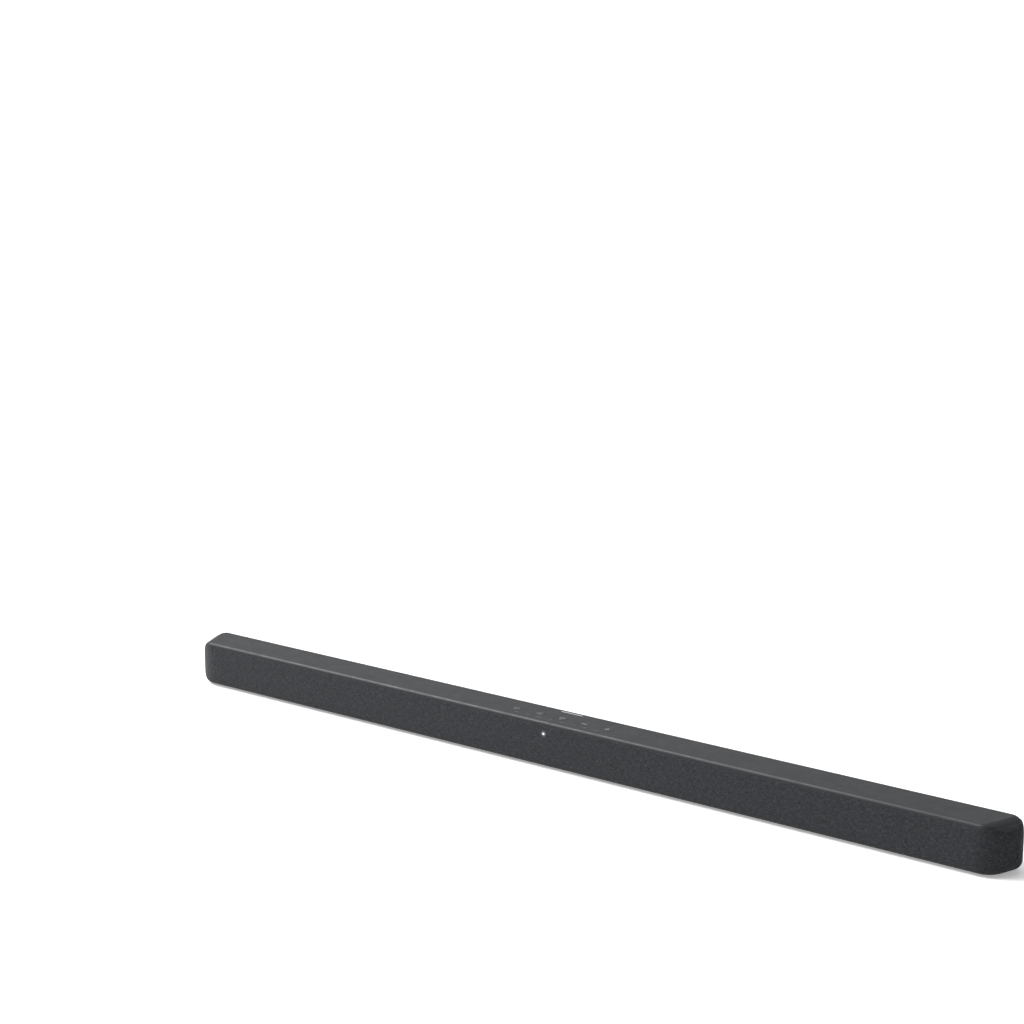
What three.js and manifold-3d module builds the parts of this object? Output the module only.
// Slim soundbar: a long cloth-fronted bar with rounded ends, five push keys on its top cover,
// four racetrack drivers in two speaker boxes, and the electronics between them.
// Millimetres. X runs along the bar, -Y is the front, +Z is up. The origin is on the surface the
// bar stands on, under its middle.

import * as THREE from "three";
import { mergeVertices } from "three/addons/utils/BufferGeometryUtils.js";
import Module from "manifold-3d";

const wasm = await Module();
wasm.setup();

// ---------------------------------------------------------------- driving dimensions
const GAP = 0.3;                    // clearance between pieces that touch
const ARC_STEPS = 4;                // straight steps in a rounded plan corner

// top cover, which sets the plan of the whole bar: its rear edge is longer than its front edge
const COVER_FRONT_HALF = 381;
const COVER_REAR_HALF = 394;
const COVER_FRONT_Y = -18.2;
const COVER_REAR_Y = 17.6;
const COVER_TOP = 40.5;
const COVER_BOTTOM = 37.5;
const COVER_THICKNESS = COVER_TOP - COVER_BOTTOM;
const COVER_CORNER = { front: 5, rear: 3.5 };

// the form below the cover: how far each side stands out past the cover's outline, its rounding
// at the foot, and its shoulder, whose curve on the ends runs on up through the cover and is cut
// off by its flat top
const SKIN_BOTTOM = 1.5;
const SKIN_TOP = COVER_BOTTOM - GAP;
const SIDES = {
  front: { reach: 0.8, foot: 5.4, shoulderDepth: 1, shoulderHeight: 1, top: SKIN_TOP, power: 2 },
  end: { reach: 12.3, foot: 10, shoulderDepth: 18.1, shoulderHeight: 14.25, top: 41.45, power: 1.75 },
  rear: { reach: 2, foot: 8, shoulderDepth: 1, shoulderHeight: 13, top: SKIN_TOP, power: 2 },
};
const SKIN_CORNER = { front: 29.5, rear: 14.5 };
const SKIN_OPENING_INSET = 1.2;     // the top opening's edge, inside the cover's outline
const OPENING_CORNER = 4;
const CLOTH = 0.9;
const FRAME_WALL = 1.6;
const CABINET_WALL = 2.2;
const FRAME_WINDOWS = { count: 6, margin: 6, rib: 4, bottom: 9, top: 33 };
const FRAME_INSET = CLOTH + GAP;
const CABINET_INSET = FRAME_INSET + FRAME_WALL + GAP;
const CABINET_FRONT_Y = -12.7;
const REAR_WALL_HALF = 371.7;       // the cabinet's own rear wall shows between the cloth ends
const REAR_WALL_INNER_Y = COVER_REAR_Y + SIDES.rear.reach - CABINET_WALL;
const FLOOR_TOP = SKIN_BOTTOM + CABINET_WALL;

// speaker boxes and drivers
const BOX = { inner: 169, outer: 369, frontY: -11.7, rearY: 9.8, bottom: 4.6, top: 37, wall: 2 };
const DRIVER_PITCH = 99;
const DRIVER_Z = 20.8;
const FLANGE = { halfLength: 48, halfHeight: 15.3, corner: 9, frontY: -13.6, thickness: 1.6 };
const BOWL = { halfLength: 42, radius: 12.6, rearRadius: 15.2, rearY: -0.9, wall: 1.2 };
const CONE = { halfLength: 37, radius: 8.6, rimY: -13, thickness: 0.7, neckRadius: 8.4, neckY: -4.6 };
const MAGNET = { radius: 13, frontY: -0.6, rearY: 7.4, poleRadius: 6.4, gapRadius: 8.7, gapFloorY: 5.6 };
const COIL = { inner: 7, outer: 7.9, frontY: -4.3, rearY: 3.2 };

// keys
const KEY_NAMES = ["power_key", "source_key", "pairing_key", "volume_down_key", "volume_up_key"];
const KEY_PITCH = 22.6;
const KEY_Y = -3.3;
const KEY = { radius: 5.5, flangeRadius: 6.6, flangeThickness: 1, stemRadius: 1.6, stemBottom: 33.2 };
const KEY_TRAVEL = 0.6;
const KEY_BOARD = { halfLength: 58, frontY: -8, rearY: 4.6, bottom: 29.6, thickness: 1.4 };

// rear connector bay and its sockets
const BAY = { halfLength: 76, bottom: 10, top: 32, frontY: 8.5, wall: 1.5 };
const SOCKET_Z = 18.5;
const SOCKET_MOUTH_Y = 10.6;
const INLET_X = -60;
const INLET_PIN = { x: 4.3, radius: 1.2 };
const SERVICE_X = -18;
const AUX_X = 6;
const OPTICAL_X = 28;
const AV_X = 56;

// boards on the cabinet floor
const BOARD = { frontY: -12, rearY: 7.8, bottom: 6.5, thickness: 1.6 };
const BOARD_TOP = BOARD.bottom + BOARD.thickness;
const POWER_BOARD = { left: -158.5, right: -43 };
const MAIN_BOARD = { left: -36, right: 158.5 };

// status light and remote receiver behind the cloth
const LIGHT = { x: -6.8, z: 30.3, radius: 1.1, frontY: -17.7 };
const LAMP_DEPTH = 0.8;
const RECEIVER = { x: 20, holeRadius: 3, half: 2.8, halfHeight: 3.4, depth: 3.2, lensRadius: 2.4 };
const INDICATOR = { left: -14, right: 30, bottom: 22, top: 34, frontY: -10.3, thickness: 1.6 };

// fixings, feet and wall plates
const COVER_SCREWS = [[-381.5, 6], [-163.8, 8], [163.8, 8], [381.5, 6]];
const BOSS = { radius: 3.2, bottom: 8 };
const BOARD_POST_RADIUS = 2;
const SCREW = { headRadius: 2.7, headBottom: 3.2, headHeight: 1.6, shankRadius: 1.3, tip: 17 };
const FOOT = { halfLength: 20, radius: 4, x: 300, y: 6.5, top: 1.7, pocketTop: 2 };
const WALL_PLATE = { x: 269, halfLength: 16, halfHeight: 11, z: 24, thickness: 1.2 };
const KEYHOLE = { headRadius: 4.5, headDrop: 3, slotRadius: 2.2, slotRise: 7 };
const WALL_WINDOW = { halfLength: 12, halfHeight: 8 };

// ---------------------------------------------------------------- finishes
const finish = (color, roughness, metalness = 0) =>
  new THREE.MeshStandardMaterial({ color, roughness, metalness, flatShading: true });

const FINISHES = {
  coverPlastic: () => finish(0x55565a, 0.42),
  cloth: () => finish(0x424347, 0.95),
  cabinetPlastic: () => finish(0x2c2d30, 0.6),
  framePlastic: () => finish(0x1d1e20, 0.7),
  boxPlastic: () => finish(0x202124, 0.65),
  basketSteel: () => finish(0x33353a, 0.5, 0.6),
  magnetSteel: () => finish(0x8b8e93, 0.35, 0.9),
  paperCone: () => finish(0x1b1b1d, 0.85),
  surroundRubber: () => finish(0x131314, 0.8),
  coilCopper: () => finish(0xb4693c, 0.35, 0.9),
  board: () => finish(0x1f5b39, 0.55),
  heatSink: () => finish(0xa9acb0, 0.4, 0.9),
  shieldSteel: () => finish(0xb9bcc0, 0.3, 0.9),
  transformer: () => finish(0xc7a94b, 0.6),
  capacitor: () => finish(0x27314a, 0.4),
  socketPlastic: () => finish(0x161618, 0.45),
  clearPlastic: () => finish(0xe9ecef, 0.2),
  receiver: () => finish(0x241417, 0.2),
  footRubber: () => finish(0x1a1a1b, 0.9),
  screwSteel: () => finish(0x7c7f84, 0.35, 0.9),
  lead: () => finish(0x5a1f1f, 0.6),
};

// ---------------------------------------------------------------- shape helpers
// A polygon with rounded corners, anticlockwise; each corner is { x, y, r }.
function roundedOutline(corners, steps = ARC_STEPS) {
  const points = [];
  corners.forEach((corner, i) => {
    const here = new THREE.Vector2(corner.x, corner.y);
    const before = corners[(i + corners.length - 1) % corners.length];
    const after = corners[(i + 1) % corners.length];
    const toBefore = new THREE.Vector2(before.x, before.y).sub(here).normalize();
    const toAfter = new THREE.Vector2(after.x, after.y).sub(here).normalize();
    const halfAngle = Math.acos(toBefore.dot(toAfter)) / 2;
    const inward = toBefore.clone().add(toAfter).normalize();
    const centre = here.clone().addScaledVector(inward, corner.r / Math.sin(halfAngle));
    const reach = corner.r / Math.tan(halfAngle);
    const start = here.clone().addScaledVector(toBefore, reach).sub(centre).angle();
    const sweep = Math.PI - 2 * halfAngle;
    for (let k = 0; k <= steps; k += 1) {
      const angle = start + (sweep * k) / steps;
      points.push([centre.x + corner.r * Math.cos(angle), centre.y + corner.r * Math.sin(angle)]);
    }
  });
  return points;
}

function rectangle(left, right, low, high, radius, steps = 3) {
  const corners = [[left, low], [right, low], [right, high], [left, high]];
  return roundedOutline(corners.map(([x, y]) => ({ x, y, r: radius })), steps);
}

// Straight sides with half-round ends. A halfLength equal to the radius gives a circle, whose
// points still match the longer racetracks one for one.
function racetrack(halfLength, radius, steps = 6) {
  const straight = halfLength - radius;
  const points = [];
  [[straight, -Math.PI / 2], [-straight, Math.PI / 2]].forEach(([centreX, start]) => {
    for (let k = 0; k <= steps; k += 1) {
      const angle = start + (Math.PI * k) / steps;
      points.push([centreX + radius * Math.cos(angle), radius * Math.sin(angle)]);
    }
  });
  return points;
}

// A circle whose points pair with a racetrack's of the same number of steps.
function matchingCircle(radius, steps = 6) {
  const count = 2 * (steps + 1);
  return Array.from({ length: count }, (_, k) => {
    const angle = -Math.PI / 2 + (2 * Math.PI * (k + 0.5)) / count;
    return [radius * Math.cos(angle), radius * Math.sin(angle)];
  });
}

const ringAtZ = (outline, z) => outline.map(([x, y]) => [x, y, z]);
const ringAtY = (outline, y, centreZ = 0) => outline.map(([x, z]) => [x, y, z + centreZ]);
const ringAtX = (outline, x) => outline.map(([y, z]) => [x, y, z]);

// A closed surface through rings with equal numbers of points: capped at both ends, or, when
// looped, joined from the last ring back to the first.
function loft(rings, looped = false) {
  const count = rings[0].length;
  const faces = [];
  const bands = looped ? rings.length : rings.length - 1;
  for (let i = 0; i < bands; i += 1) {
    const low = i * count;
    const high = ((i + 1) % rings.length) * count;
    for (let k = 0; k < count; k += 1) {
      const next = (k + 1) % count;
      faces.push([low + k, low + next, high + next], [low + k, high + next, high + k]);
    }
  }
  if (!looped) {
    const last = (rings.length - 1) * count;
    for (let k = 1; k < count - 1; k += 1) {
      faces.push([0, k + 1, k], [last, last + k, last + k + 1]);
    }
  }
  const points = rings.flat().map((p) => new THREE.Vector3(...p));
  const volume = faces.reduce((sum, [a, b, c]) =>
    sum + points[a].dot(points[b].clone().cross(points[c])), 0);
  const ordered = volume > 0 ? faces : faces.map(([a, b, c]) => [a, c, b]);
  const geometry = new THREE.BufferGeometry().setFromPoints(points);
  geometry.setIndex(ordered.flat());
  return geometry;
}

const prismZ = (outline, low, high) => loft([ringAtZ(outline, low), ringAtZ(outline, high)]);
const prismX = (outline, low, high) => loft([ringAtX(outline, low), ringAtX(outline, high)]);
const prismY = (outline, low, high, centreX = 0, centreZ = 0) =>
  loft([ringAtY(outline, low, centreZ), ringAtY(outline, high, centreZ)]).translate(centreX, 0, 0);

function block([x0, y0, z0], [x1, y1, z1]) {
  const geometry = new THREE.BoxGeometry(x1 - x0, y1 - y0, z1 - z0);
  return geometry.translate((x0 + x1) / 2, (y0 + y1) / 2, (z0 + z1) / 2);
}

function cylinderZ(radius, low, high, x = 0, y = 0, segments = 12) {
  const geometry = new THREE.CylinderGeometry(radius, radius, high - low, segments);
  return geometry.rotateX(Math.PI / 2).translate(x, y, (low + high) / 2);
}

function cylinderY(radius, low, high, x, z, segments = 12) {
  const geometry = new THREE.CylinderGeometry(radius, radius, high - low, segments);
  return geometry.translate(x, (low + high) / 2, z);
}

// ---------------------------------------------------------------- joining and cutting
function solid(geometry) {
  const bare = geometry.clone();
  bare.deleteAttribute("normal");
  bare.deleteAttribute("uv");
  const merged = mergeVertices(bare, 1e-4);
  return new wasm.Manifold(new wasm.Mesh({
    numProp: 3,
    vertProperties: new Float32Array(merged.attributes.position.array),
    triVerts: new Uint32Array(merged.index.array),
  }));
}

const join = (...geometries) => geometries.map(solid).reduce((a, b) => a.add(b));
const cut = (body, ...geometries) => geometries.reduce((a, b) => a.subtract(solid(b)), body);

function surface(body) {
  const mesh = body.getMesh();
  const geometry = new THREE.BufferGeometry();
  const places = new Float32Array(mesh.vertProperties);
  geometry.setAttribute("position", new THREE.BufferAttribute(places, 3));
  geometry.setIndex(new THREE.BufferAttribute(new Uint32Array(mesh.triVerts), 1));
  return geometry;
}

// ---------------------------------------------------------------- the bar's outer form
const FLARE = (COVER_REAR_HALF - COVER_FRONT_HALF) / (COVER_REAR_Y - COVER_FRONT_Y);
const FLARE_COS = Math.cos(Math.atan(FLARE));

// The bar's plan with each side moved out by its own amount from the cover's outline.
function barOutline(front, end, rear, frontCorner, rearCorner) {
  const frontY = COVER_FRONT_Y - front;
  const rearY = COVER_REAR_Y + rear;
  const halfAt = (y) => COVER_FRONT_HALF + (y - COVER_FRONT_Y) * FLARE + end / FLARE_COS;
  return roundedOutline([
    { x: -halfAt(frontY), y: frontY, r: frontCorner },
    { x: halfAt(frontY), y: frontY, r: frontCorner },
    { x: halfAt(rearY), y: rearY, r: rearCorner },
    { x: -halfAt(rearY), y: rearY, r: rearCorner },
  ]);
}

// The depth left of a rounding at a distance t along its height.
const quarterRound = (depth, height, t, power) =>
  depth > 0 && height > t ? depth * (1 - (t / height) ** power) ** (1 / power) : 0;

// How far one side stands out at height z, on a surface inset from the cloth.
function sideReach(side, z, inset) {
  const low = SKIN_BOTTOM + side.foot - z;
  const high = z - (side.top - side.shoulderHeight);
  const straight = side.reach - inset;
  if (low > 0) {
    const round = quarterRound(side.foot - inset, side.foot - inset, low, 2);
    return Math.min(straight, side.reach - side.foot + round);
  }
  if (high > 0) {
    const { shoulderDepth, shoulderHeight, power } = side;
    const round = quarterRound(shoulderDepth - inset, shoulderHeight - inset, high, power);
    return Math.min(straight, side.reach - shoulderDepth + round);
  }
  return straight;
}

// The plan corners open out as the ends stand further out.
function cornerRadii(endReach, inset) {
  const topReach = sideReach(SIDES.end, COVER_TOP, 0);
  const share = (endReach + inset - topReach) / (SIDES.end.reach - topReach);
  const fullness = THREE.MathUtils.clamp(share, 0, 1) ** 1.5;
  const radius = (side) => THREE.MathUtils.lerp(COVER_CORNER[side], SKIN_CORNER[side], fullness);
  return [Math.max(radius("front") - inset, 1), Math.max(radius("rear") - inset, 1)];
}

function skinOutline(z, inset) {
  const endReach = sideReach(SIDES.end, z, inset);
  return barOutline(sideReach(SIDES.front, z, inset), endReach, sideReach(SIDES.rear, z, inset),
    ...cornerRadii(endReach, inset));
}

// The full form bounded by the skin, inset by a distance.
function skinForm(inset) {
  const steps = 4;
  const { end } = SIDES;
  const foot = end.foot - inset;
  const shoulder = end.shoulderHeight - (end.top - SKIN_TOP) - inset;
  const heights = [];
  for (let k = 0; k <= steps; k += 1) {
    heights.push(SKIN_BOTTOM + inset + foot * (1 - Math.cos((k * Math.PI) / 2 / steps)));
  }
  for (let k = 0; k <= steps; k += 1) {
    heights.push(SKIN_TOP - inset - shoulder * (1 - Math.sin((k * Math.PI) / 2 / steps)));
  }
  return loft(heights.map((z) => ringAtZ(skinOutline(z, inset), z)));
}

const openingOutline = (inset) =>
  barOutline(-inset, -inset, -inset, OPENING_CORNER, OPENING_CORNER);

// The cabinet floor fills the skin's bottom opening, less the inset.
function floorOutline(inset) {
  const { front, end, rear } = SIDES;
  return barOutline(front.reach - front.foot - inset, end.reach - end.foot - inset,
    rear.reach - rear.foot - inset, OPENING_CORNER, OPENING_CORNER);
}

// The span of the rear wall, which the cloth leaves open.
const rearSpan = (half) => block([-half, 8, -5], [half, 30, 60]);

// A skin that wraps the front and both ends, open above, below and across the rear wall.
function wrapShell(outerInset, innerInset) {
  return cut(
    solid(skinForm(outerInset)),
    skinForm(innerInset),
    prismZ(openingOutline(SKIN_OPENING_INSET), COVER_TOP - 10, COVER_TOP + 10),
    prismZ(floorOutline(0), -10, 8),
    rearSpan(REAR_WALL_HALF + GAP),
  );
}

// ---------------------------------------------------------------- outer pieces
// A plate whose front and rear edges are rounded over its whole thickness, and whose ends carry on
// the bar's shoulders.
function topCover() {
  const steps = 5;
  const rings = [];
  for (let k = 0; k <= steps; k += 1) {
    const angle = (k * Math.PI) / 2 / steps;
    const inset = COVER_THICKNESS * (1 - Math.cos(angle));
    const z = COVER_BOTTOM + COVER_THICKNESS * Math.sin(angle);
    const endReach = sideReach(SIDES.end, z, 0);
    rings.push(ringAtZ(barOutline(-inset, endReach, -inset, ...cornerRadii(endReach, 0)), z));
  }
  let body = solid(loft(rings));
  COVER_SCREWS.forEach(([x, y]) => {
    body = body.add(solid(cylinderZ(BOSS.radius, BOSS.bottom, COVER_BOTTOM + 0.5, x, y)));
  });
  [-1.5, 1.5].forEach((between) => {
    body = body.add(solid(cylinderZ(BOARD_POST_RADIUS, KEY_BOARD.bottom + KEY_BOARD.thickness + GAP,
      COVER_BOTTOM + 0.5, between * KEY_PITCH, 2)));
  });
  const keyHoles = KEY_NAMES.map((_, i) =>
    cylinderZ(KEY.radius + GAP, 20, 50, (i - 2) * KEY_PITCH, KEY_Y, 20));
  const pilots = COVER_SCREWS.map(([x, y]) =>
    cylinderZ(SCREW.shankRadius + GAP, 5, SCREW.tip + 1, x, y, 8));
  return surface(cut(body, ...keyHoles, ...pilots));
}

function grilleFrame() {
  const { count, margin, rib, bottom, top } = FRAME_WINDOWS;
  const span = (BOX.outer - BOX.inner - 2 * margin) / count;
  const windows = [-1, 1].flatMap((side) => Array.from({ length: count }, (_, i) => {
    const centre = side * (BOX.inner + margin + span * (i + 0.5));
    const half = (span - rib) / 2;
    return block([centre - half, -25, bottom], [centre + half, -14, top]);
  }));
  const holes = [
    cylinderY(LIGHT.radius + GAP, -25, -14, LIGHT.x, LIGHT.z),
    cylinderY(RECEIVER.holeRadius, -25, -14, RECEIVER.x, LIGHT.z),
  ];
  return surface(cut(wrapShell(FRAME_INSET, FRAME_INSET + FRAME_WALL), ...windows, ...holes));
}

const footPlaces = () =>
  [-1, 1].flatMap((side) => [[side * FOOT.x, -FOOT.y], [side * FOOT.x, FOOT.y]]);

function cabinet() {
  const inner = CABINET_INSET + CABINET_WALL;
  let body = solid(skinForm(CABINET_INSET))
    .add(solid(prismZ(floorOutline(GAP), SKIN_BOTTOM, SKIN_BOTTOM + CABINET_INSET + 1)))
    .add(solid(skinForm(0)).intersect(solid(rearSpan(REAR_WALL_HALF))));
  body = cut(body,
    skinForm(inner),
    prismZ(floorOutline(CABINET_WALL), FLOOR_TOP, inner + SKIN_BOTTOM + 2),
    prismZ(openingOutline(3.2), SKIN_TOP - inner - 3, COVER_TOP + 10),
    block([-500, -40, -10], [500, CABINET_FRONT_Y, 60]));
  const behindWall = REAR_WALL_HALF - CABINET_WALL;
  body = body.subtract(solid(skinForm(CABINET_WALL))
    .intersect(solid(block([-behindWall, -30, 0], [behindWall, 30, 60]))));
  COVER_SCREWS.forEach(([x, y]) => {
    body = body.add(solid(cylinderZ(4.6, FLOOR_TOP - 1, 7.7, x, y)));
  });
  [POWER_BOARD, MAIN_BOARD].forEach(({ left, right }) => {
    [left + 4, right - 4].forEach((x) => {
      [BOARD.frontY + 3.5, BOARD.rearY - 3.5].forEach((y) => {
        body = body.add(solid(cylinderZ(1.8, FLOOR_TOP - 1, BOARD.bottom - GAP, x, y, 10)));
      });
    });
  });
  const bayWindow = block(
    [-BAY.halfLength + BAY.wall, REAR_WALL_INNER_Y - 3, BAY.bottom + BAY.wall],
    [BAY.halfLength - BAY.wall, 30, BAY.top - BAY.wall]);
  const plateWindows = [-1, 1].map((side) => {
    const outline = rectangle(-WALL_WINDOW.halfLength, WALL_WINDOW.halfLength,
      -WALL_WINDOW.halfHeight, WALL_WINDOW.halfHeight, 2.5);
    return prismY(outline, REAR_WALL_INNER_Y - 2, 30, side * WALL_PLATE.x, WALL_PLATE.z);
  });
  const screwWays = COVER_SCREWS.flatMap(([x, y]) => [
    cylinderZ(SCREW.shankRadius + GAP, -5, 12, x, y, 12),
    cylinderZ(SCREW.headRadius + GAP, -5, SCREW.headBottom + SCREW.headHeight + GAP, x, y, 16),
  ]);
  const pockets = footPlaces().map(([x, y]) =>
    prismZ(racetrack(FOOT.halfLength + GAP, FOOT.radius + GAP), -5, FOOT.pocketTop).translate(x, y, 0));
  return surface(cut(body, bayWindow, ...plateWindows, ...screwWays, ...pockets));
}

// ---------------------------------------------------------------- speaker boxes and drivers
function speakerBox(side) {
  const left = side < 0 ? -BOX.outer : BOX.inner;
  const right = side < 0 ? -BOX.inner : BOX.outer;
  const outer = rectangle(left, right, BOX.frontY, BOX.rearY, 3);
  const inner = rectangle(left + BOX.wall, right - BOX.wall,
    BOX.frontY + BOX.wall, BOX.rearY - BOX.wall, 1.5);
  const cavity = prismZ(inner, BOX.bottom + BOX.wall, BOX.top - BOX.wall);
  const port = racetrack(BOWL.halfLength + 1.2, BOWL.radius + 0.9);
  const ports = driverPlaces(side).map((x) =>
    prismY(port, BOX.frontY - 2, BOX.frontY + 3, x, DRIVER_Z));
  return surface(cut(solid(prismZ(outer, BOX.bottom, BOX.top)), cavity, ...ports));
}

function driverPlaces(side) {
  const middle = (side * (BOX.inner + BOX.outer)) / 2;
  return [middle - DRIVER_PITCH / 2, middle + DRIVER_PITCH / 2];
}

// Driver geometry is made about X = 0, Z = 0, and placed by its group.
function driverBasket() {
  const { halfLength, halfHeight, frontY, thickness } = FLANGE;
  const rearOfFlange = frontY + thickness;
  const bowlOuter = racetrack(BOWL.halfLength, BOWL.radius);
  const bowlInner = racetrack(BOWL.halfLength - BOWL.wall, BOWL.radius - BOWL.wall);
  const neckOuter = matchingCircle(BOWL.rearRadius - 1);
  const neckInner = matchingCircle(BOWL.rearRadius - 1 - BOWL.wall);
  const bore = matchingCircle(9.4);
  const flange = prismY(rectangle(-halfLength, halfLength, -halfHeight, halfHeight, FLANGE.corner, 4),
    frontY, rearOfFlange);
  const bowl = loft([
    ringAtY(bowlOuter, frontY + 0.4), ringAtY(bowlOuter, rearOfFlange + 3),
    ringAtY(neckOuter, BOWL.rearY - 1.5), ringAtY(neckOuter, BOWL.rearY),
  ]);
  const hollow = loft([
    ringAtY(bowlInner, frontY - 1), ringAtY(bowlInner, rearOfFlange + 3),
    ringAtY(neckInner, BOWL.rearY - 1.6),
  ]);
  const boltHoles = [-1, 1].flatMap((sx) => [-1, 1].map((sz) =>
    cylinderY(1.1, frontY - 1, rearOfFlange + 1, sx * (halfLength - 3.6), sz * (halfHeight - 3.6), 6)));
  const throat = prismY(bore, BOWL.rearY - 4, BOWL.rearY + 1);
  return surface(cut(join(flange, bowl), hollow, throat, ...boltHoles));
}

function driverCone() {
  const rim = racetrack(CONE.halfLength, CONE.radius);
  const neck = matchingCircle(CONE.neckRadius);
  return loft([
    ringAtY(matchingCircle(2.6), CONE.neckY - 4.6),
    ringAtY(matchingCircle(5.6), CONE.neckY - 3.8),
    ringAtY(matchingCircle(7.6), CONE.neckY - 2.2),
    ringAtY(rim, CONE.rimY),
    ringAtY(rim, CONE.rimY + CONE.thickness),
    ringAtY(neck, CONE.neckY),
  ]);
}

function driverSurround() {
  const inner = { halfLength: CONE.halfLength + GAP, radius: CONE.radius + GAP };
  const width = BOWL.radius - BOWL.wall - GAP - inner.radius;
  const steps = 2;
  const rings = [];
  const roll = (lift, thickness) => {
    for (let k = 0; k <= steps; k += 1) {
      const share = k / steps;
      const y = CONE.rimY + thickness - lift * Math.sin(Math.PI * share);
      rings.push(ringAtY(racetrack(inner.halfLength + width * share, inner.radius + width * share), y));
    }
  };
  roll(1, 0);
  const front = rings.splice(0);
  roll(1, 0.6);
  return loft([...front, ...rings.reverse()], true);
}

function latheAlongY(profile, segments) {
  const points = profile.map(([radius, y]) => new THREE.Vector2(radius, y));
  return new THREE.LatheGeometry(points, segments);
}

function driverMagnet() {
  const { radius, frontY, rearY, poleRadius, gapRadius, gapFloorY } = MAGNET;
  return latheAlongY([
    [0, frontY], [poleRadius, frontY], [poleRadius, gapFloorY], [gapRadius, gapFloorY], [gapRadius, frontY],
    [radius - 1, frontY], [radius - 1, frontY + 1.4], [radius, frontY + 2], [radius, rearY - 1],
    [radius - 1, rearY], [0, rearY],
  ], 16);
}

function voiceCoil() {
  const { inner, outer, frontY, rearY } = COIL;
  const section = [[inner, frontY], [outer, frontY], [outer, rearY], [inner, rearY], [inner, frontY]];
  return latheAlongY(section, 16);
}

// ---------------------------------------------------------------- keys and boards
function keyCap() {
  const { radius, flangeRadius, flangeThickness, stemRadius, stemBottom } = KEY;
  const flangeTop = COVER_BOTTOM - GAP;
  const profile = [
    [0, COVER_TOP], [radius - 0.4, COVER_TOP], [radius, COVER_TOP - 0.4], [radius, flangeTop],
    [flangeRadius, flangeTop], [flangeRadius, flangeTop - flangeThickness],
    [stemRadius, flangeTop - flangeThickness], [stemRadius, stemBottom], [0, stemBottom],
  ].reverse();
  const points = profile.map(([r, z]) => new THREE.Vector2(r, z));
  return new THREE.LatheGeometry(points, 20).rotateX(Math.PI / 2);
}

function keyBoard() {
  const top = KEY_BOARD.bottom + KEY_BOARD.thickness;
  const switchTop = KEY.stemBottom - KEY_TRAVEL - 0.1;
  const parts = [block([-KEY_BOARD.halfLength, KEY_BOARD.frontY, KEY_BOARD.bottom],
    [KEY_BOARD.halfLength, KEY_BOARD.rearY, top])];
  KEY_NAMES.forEach((_, i) => {
    const x = (i - 2) * KEY_PITCH;
    parts.push(block([x - 3, KEY_Y - 3, top - 0.5], [x + 3, KEY_Y + 3, switchTop - 0.5]));
    parts.push(cylinderZ(1.7, top, switchTop, x, KEY_Y, 8));
  });
  return surface(join(...parts));
}

// Each component on a board is [x, y, width, depth, height].
const POWER_CHIPS = [[-92, 4, 10, 6, 8], [-82, -7, 14, 7, 5]];
const MAIN_CHIPS = [[36, -8.6, 12, 5, 1.4], [8, -8.8, 9, 5, 1.2], [120, -2, 10, 10, 1.6]];

function circuitBoard({ left, right }, blocks) {
  const sheet = block([left, BOARD.frontY, BOARD.bottom], [right, BOARD.rearY, BOARD_TOP]);
  const chips = blocks.map(([x, y, width, depth, height]) => block(
    [x - width / 2, y - depth / 2, BOARD_TOP - 0.4],
    [x + width / 2, y + depth / 2, BOARD_TOP + height]));
  return surface(join(sheet, ...chips));
}

function indicatorBoard() {
  const { left, right, bottom, top, frontY, thickness } = INDICATOR;
  const sheet = block([left, frontY, bottom], [right, frontY + thickness, top]);
  const lamp = block([LIGHT.x - 1.5, frontY - LAMP_DEPTH, LIGHT.z - 1.2],
    [LIGHT.x + 1.5, frontY + 0.5, LIGHT.z + 1.2]);
  return surface(join(sheet, lamp));
}

function remoteReceiver() {
  const rear = INDICATOR.frontY - GAP;
  const { x, half, halfHeight, depth, lensRadius } = RECEIVER;
  const body = block([x - half, rear - depth, LIGHT.z - halfHeight], [x + half, rear, LIGHT.z + halfHeight]);
  const lens = new THREE.SphereGeometry(lensRadius, 12, 8).translate(x, rear - depth + 0.2, LIGHT.z);
  return surface(join(body, lens));
}

function heatSink() {
  const length = 56;
  const base = 3;
  const fins = 5;
  const low = BOARD_TOP + 1.6 + GAP;
  const parts = [block([0, BOARD.frontY + 2, low], [length, BOARD.rearY - 2, low + base])];
  const pitch = (BOARD.rearY - BOARD.frontY - 4 - 1.2) / (fins - 1);
  for (let i = 0; i < fins; i += 1) {
    const y = BOARD.frontY + 2 + i * pitch;
    parts.push(block([0, y, low + base - 0.5], [length, y + 1.2, low + base + 11]));
  }
  return surface(join(...parts)).translate(92, 0, 0);
}

function transformer() {
  const low = BOARD_TOP + GAP;
  const core = block([-13, -8, low], [13, 5, low + 17]);
  const winding = prismZ(rectangle(-9, 9, -10.5, 7, 4), low + 3, low + 14);
  return surface(join(core, winding)).translate(-112, 0, 0);
}

function capacitor() {
  const low = BOARD_TOP + GAP;
  return cylinderZ(7, low, low + 17, -142, 0.5, 20);
}

function wirelessModule() {
  const low = BOARD_TOP + GAP;
  const sheet = block([-12, -9, low], [12, 4, low + 1]);
  const can = prismZ(rectangle(-10, 6, -7.5, 2.5, 1), low + 0.5, low + 3.2);
  return surface(join(sheet, can)).translate(78.6, -1.5, 0);
}

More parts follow.
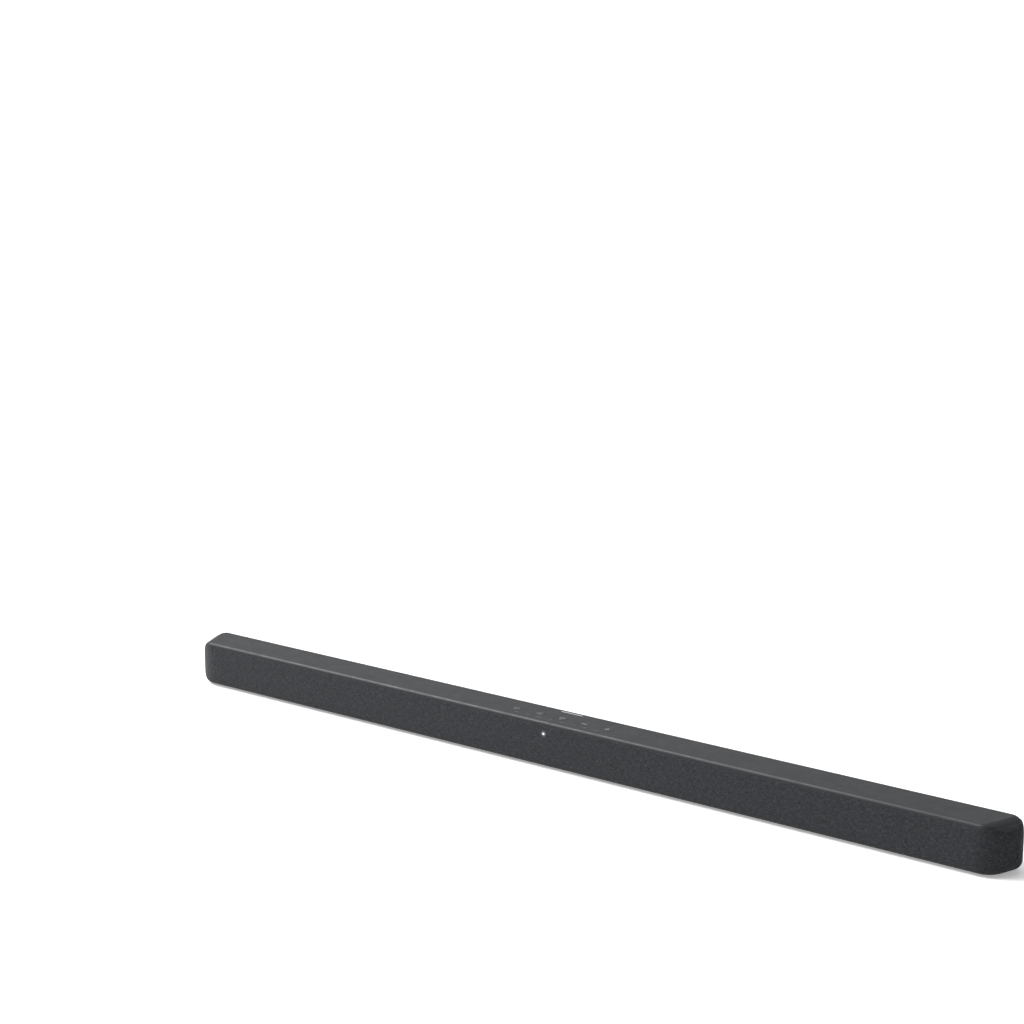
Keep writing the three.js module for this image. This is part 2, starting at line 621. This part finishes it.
// ---------------------------------------------------------------- connector bay
// Each socket is a body on the board, a neck through the bay's rear panel, and a mouth facing +Y.
const SOCKETS = {
  ac_inlet: {
    x: INLET_X, z: SOCKET_Z + 2, neck: racetrack(10.4, 6.6), mouth: racetrack(8.4, 4.6), depth: 13,
    bodyHalf: 12.5, bodyTop: 29.5,
  },
  digital_av_socket: {
    x: AV_X, z: SOCKET_Z, neck: rectangle(-8, 8, -3.6, 3.6, 1),
    mouth: rectangle(-7.2, 7.2, -2.7, 2.7, 0.8), depth: 9, bodyHalf: 9, bodyTop: 24,
  },
  optical_socket: {
    x: OPTICAL_X, z: SOCKET_Z, neck: rectangle(-5.4, 5.4, -5.4, 5.4, 1),
    mouth: rectangle(-4.3, 4.3, -4.3, 4.3, 0.8), depth: 8, bodyHalf: 6.5, bodyTop: 25,
  },
  service_socket: {
    x: SERVICE_X, z: SOCKET_Z, neck: rectangle(-7.4, 7.4, -3.8, 3.8, 0.8),
    mouth: rectangle(-6.6, 6.6, -2.9, 2.9, 0.5), depth: 9, bodyHalf: 8, bodyTop: 24,
  },
  aux_socket: {
    x: AUX_X, z: SOCKET_Z, neck: racetrack(4.4, 4.4), mouth: racetrack(1.8, 1.8), depth: 12,
    bodyHalf: 6.5, bodyTop: 25,
  },
};
const SOCKET_BODY_FRONT_Y = -5;

function socket({ x, z, neck, mouth, depth, bodyHalf, bodyTop }) {
  const bodyRearY = BAY.frontY - GAP;
  const body = prismY(rectangle(-bodyHalf, bodyHalf, BOARD_TOP + GAP - z, bodyTop - z, 1),
    SOCKET_BODY_FRONT_Y, bodyRearY, x, z);
  const throat = prismY(neck, bodyRearY - 1, SOCKET_MOUTH_Y, x, z);
  return cut(join(body, throat), prismY(mouth, SOCKET_MOUTH_Y - depth, SOCKET_MOUTH_Y + 5, x, z));
}

function acInlet() {
  const { x, z, depth } = SOCKETS.ac_inlet;
  const pins = [-INLET_PIN.x, INLET_PIN.x].map((side) =>
    cylinderY(INLET_PIN.radius, SOCKET_MOUTH_Y - depth - 0.5, SOCKET_MOUTH_Y - 2.5, x + side, z, 8));
  return surface(pins.map(solid).reduce((a, b) => a.add(b), socket(SOCKETS.ac_inlet)));
}

function connectorPanel() {
  const { halfLength, bottom, top, frontY, wall } = BAY;
  const rearY = REAR_WALL_INNER_Y - GAP;
  const necks = Object.values(SOCKETS).map(({ x, z, neck }) => {
    const halfHeight = Math.max(...neck.map(([, b]) => b));
    const grow = 1 + (1.2 * GAP) / halfHeight;
    return prismY(neck.map(([a, b]) => [a * grow, b * grow]), frontY - 2, frontY + 5, x, z);
  });
  return surface(cut(
    solid(block([-halfLength, frontY, bottom], [halfLength, rearY, top])),
    block([-halfLength + wall, frontY + wall, bottom + wall], [halfLength - wall, 40, top - wall]),
    ...necks,
  ));
}

// ---------------------------------------------------------------- fixings, feet, leads
function wallPlate(side) {
  const { x, z, halfLength, halfHeight, thickness } = WALL_PLATE;
  const rearY = REAR_WALL_INNER_Y - GAP;
  const outline = rectangle(-halfLength, halfLength, -halfHeight, halfHeight, 2);
  const sheet = prismY(outline, rearY - thickness, rearY, side * x, z);
  const { headRadius, headDrop, slotRadius, slotRise } = KEYHOLE;
  const head = cylinderY(headRadius, 0, 30, side * x, z - headDrop, 16);
  const slotOutline = racetrack(slotRise / 2 + slotRadius, slotRadius).map(([a, b]) => [-b, a]);
  const slot = prismY(slotOutline, 0, 30, side * x, z - headDrop + slotRise / 2);
  return surface(cut(solid(sheet), head, slot));
}

function coverScrew() {
  const { headRadius, headBottom, headHeight, shankRadius, tip } = SCREW;
  const headTop = headBottom + headHeight;
  const points = [
    [0, headBottom], [headRadius - 0.3, headBottom], [headRadius, headBottom + 0.3],
    [headRadius, headTop], [shankRadius, headTop], [shankRadius, tip - 2], [0, tip],
  ].map(([r, z]) => new THREE.Vector2(r, z));
  return new THREE.LatheGeometry(points, 10).rotateX(Math.PI / 2);
}

function footPad() {
  const rim = 0.5;
  return loft([
    ringAtZ(racetrack(FOOT.halfLength - rim, FOOT.radius - rim), 0),
    ringAtZ(racetrack(FOOT.halfLength, FOOT.radius), rim),
    ringAtZ(racetrack(FOOT.halfLength, FOOT.radius), FOOT.top),
  ]);
}

function lightGuide() {
  return cylinderY(LIGHT.radius, LIGHT.frontY, INDICATOR.frontY - LAMP_DEPTH - GAP, LIGHT.x, LIGHT.z);
}

const LEAD = { radius: 1.2, sides: 6 };

function speakerLead(points) {
  const places = points.map((p) => new THREE.Vector3(...p));
  const route = new THREE.CatmullRomCurve3(places, false, "centripetal");
  const section = new THREE.Shape();
  for (let k = 0; k < LEAD.sides; k += 1) {
    const angle = (2 * Math.PI * k) / LEAD.sides;
    const place = [LEAD.radius * Math.cos(angle), LEAD.radius * Math.sin(angle)];
    if (k === 0) {
      section.moveTo(...place);
    } else {
      section.lineTo(...place);
    }
  }
  section.closePath();
  return new THREE.ExtrudeGeometry(section, { steps: 16, extrudePath: route, bevelEnabled: false });
}

const LEAD_FOOT = BOARD_TOP + 2 * GAP;
const LEAD_END = BOX.inner - 2 * GAP;
const LEAD_RIGHT = [[152, -9, LEAD_FOOT], [152, -9, 13], [156, -8, 19], [162, -6, 23],
  [165.5, -5.2, 24], [LEAD_END, -5, 24]];
const LEAD_LEFT = [[-31, -9, LEAD_FOOT], [-31, -9, 16], [-42, -9.5, 25], [-80, -10.2, 27],
  [-130, -10, 27], [-160, -6.5, 24.6], [-165.5, -5.2, 24], [-LEAD_END, -5, 24]];

// ---------------------------------------------------------------- assembly
const soundbar = new THREE.Group();

function addNode(name, geometry, material, parent = soundbar) {
  const mesh = new THREE.Mesh(geometry, material);
  mesh.name = name;
  parent.add(mesh);
  return mesh;
}

addNode("rear_cabinet", cabinet(), FINISHES.cabinetPlastic());
addNode("top_cover", topCover(), FINISHES.coverPlastic());
addNode("grille_frame", grilleFrame(), FINISHES.framePlastic());
addNode("grille_fabric", surface(wrapShell(0, CLOTH)), FINISHES.cloth());

addNode("speaker_box_left", speakerBox(-1), FINISHES.boxPlastic());
addNode("speaker_box_right", speakerBox(1), FINISHES.boxPlastic());

[...driverPlaces(-1), ...driverPlaces(1)].forEach((x, i) => {
  const driver = new THREE.Group();
  driver.position.set(x, 0, DRIVER_Z);
  soundbar.add(driver);
  addNode(`driver_basket_${i + 1}`, driverBasket(), FINISHES.basketSteel(), driver);
  addNode(`driver_magnet_${i + 1}`, driverMagnet(), FINISHES.magnetSteel(), driver);
  addNode(`driver_surround_${i + 1}`, driverSurround(), FINISHES.surroundRubber(), driver);
  addNode(`driver_cone_${i + 1}`, driverCone(), FINISHES.paperCone(), driver);
  addNode(`voice_coil_${i + 1}`, voiceCoil(), FINISHES.coilCopper(), driver);
});

KEY_NAMES.forEach((name, i) => {
  addNode(name, keyCap(), FINISHES.coverPlastic()).position.set((i - 2) * KEY_PITCH, KEY_Y, 0);
});
addNode("key_board", keyBoard(), FINISHES.board());

addNode("power_board", circuitBoard(POWER_BOARD, POWER_CHIPS), FINISHES.board());
addNode("transformer", transformer(), FINISHES.transformer());
addNode("mains_capacitor", capacitor(), FINISHES.capacitor());
addNode("main_board", circuitBoard(MAIN_BOARD, MAIN_CHIPS), FINISHES.board());
addNode("heat_sink", heatSink(), FINISHES.heatSink());
addNode("wireless_module", wirelessModule(), FINISHES.shieldSteel());

addNode("connector_panel", connectorPanel(), FINISHES.cabinetPlastic());
addNode("ac_inlet", acInlet(), FINISHES.socketPlastic());
["digital_av_socket", "optical_socket", "service_socket", "aux_socket"].forEach((name) => {
  addNode(name, surface(socket(SOCKETS[name])), FINISHES.socketPlastic());
});

addNode("indicator_board", indicatorBoard(), FINISHES.board());
addNode("light_guide", lightGuide(), FINISHES.clearPlastic());
addNode("remote_receiver", remoteReceiver(), FINISHES.receiver());

footPlaces().forEach(([x, y], i) => {
  addNode(`foot_pad_${i + 1}`, footPad(), FINISHES.footRubber()).position.set(x, y, 0);
});
addNode("wall_plate_left", wallPlate(-1), FINISHES.screwSteel());
addNode("wall_plate_right", wallPlate(1), FINISHES.screwSteel());
COVER_SCREWS.forEach(([x, y], i) => {
  addNode(`cover_screw_${i + 1}`, coverScrew(), FINISHES.screwSteel()).position.set(x, y, 0);
});
addNode("speaker_lead_left", speakerLead(LEAD_LEFT), FINISHES.lead());
addNode("speaker_lead_right", speakerLead(LEAD_RIGHT), FINISHES.lead());

export default soundbar;
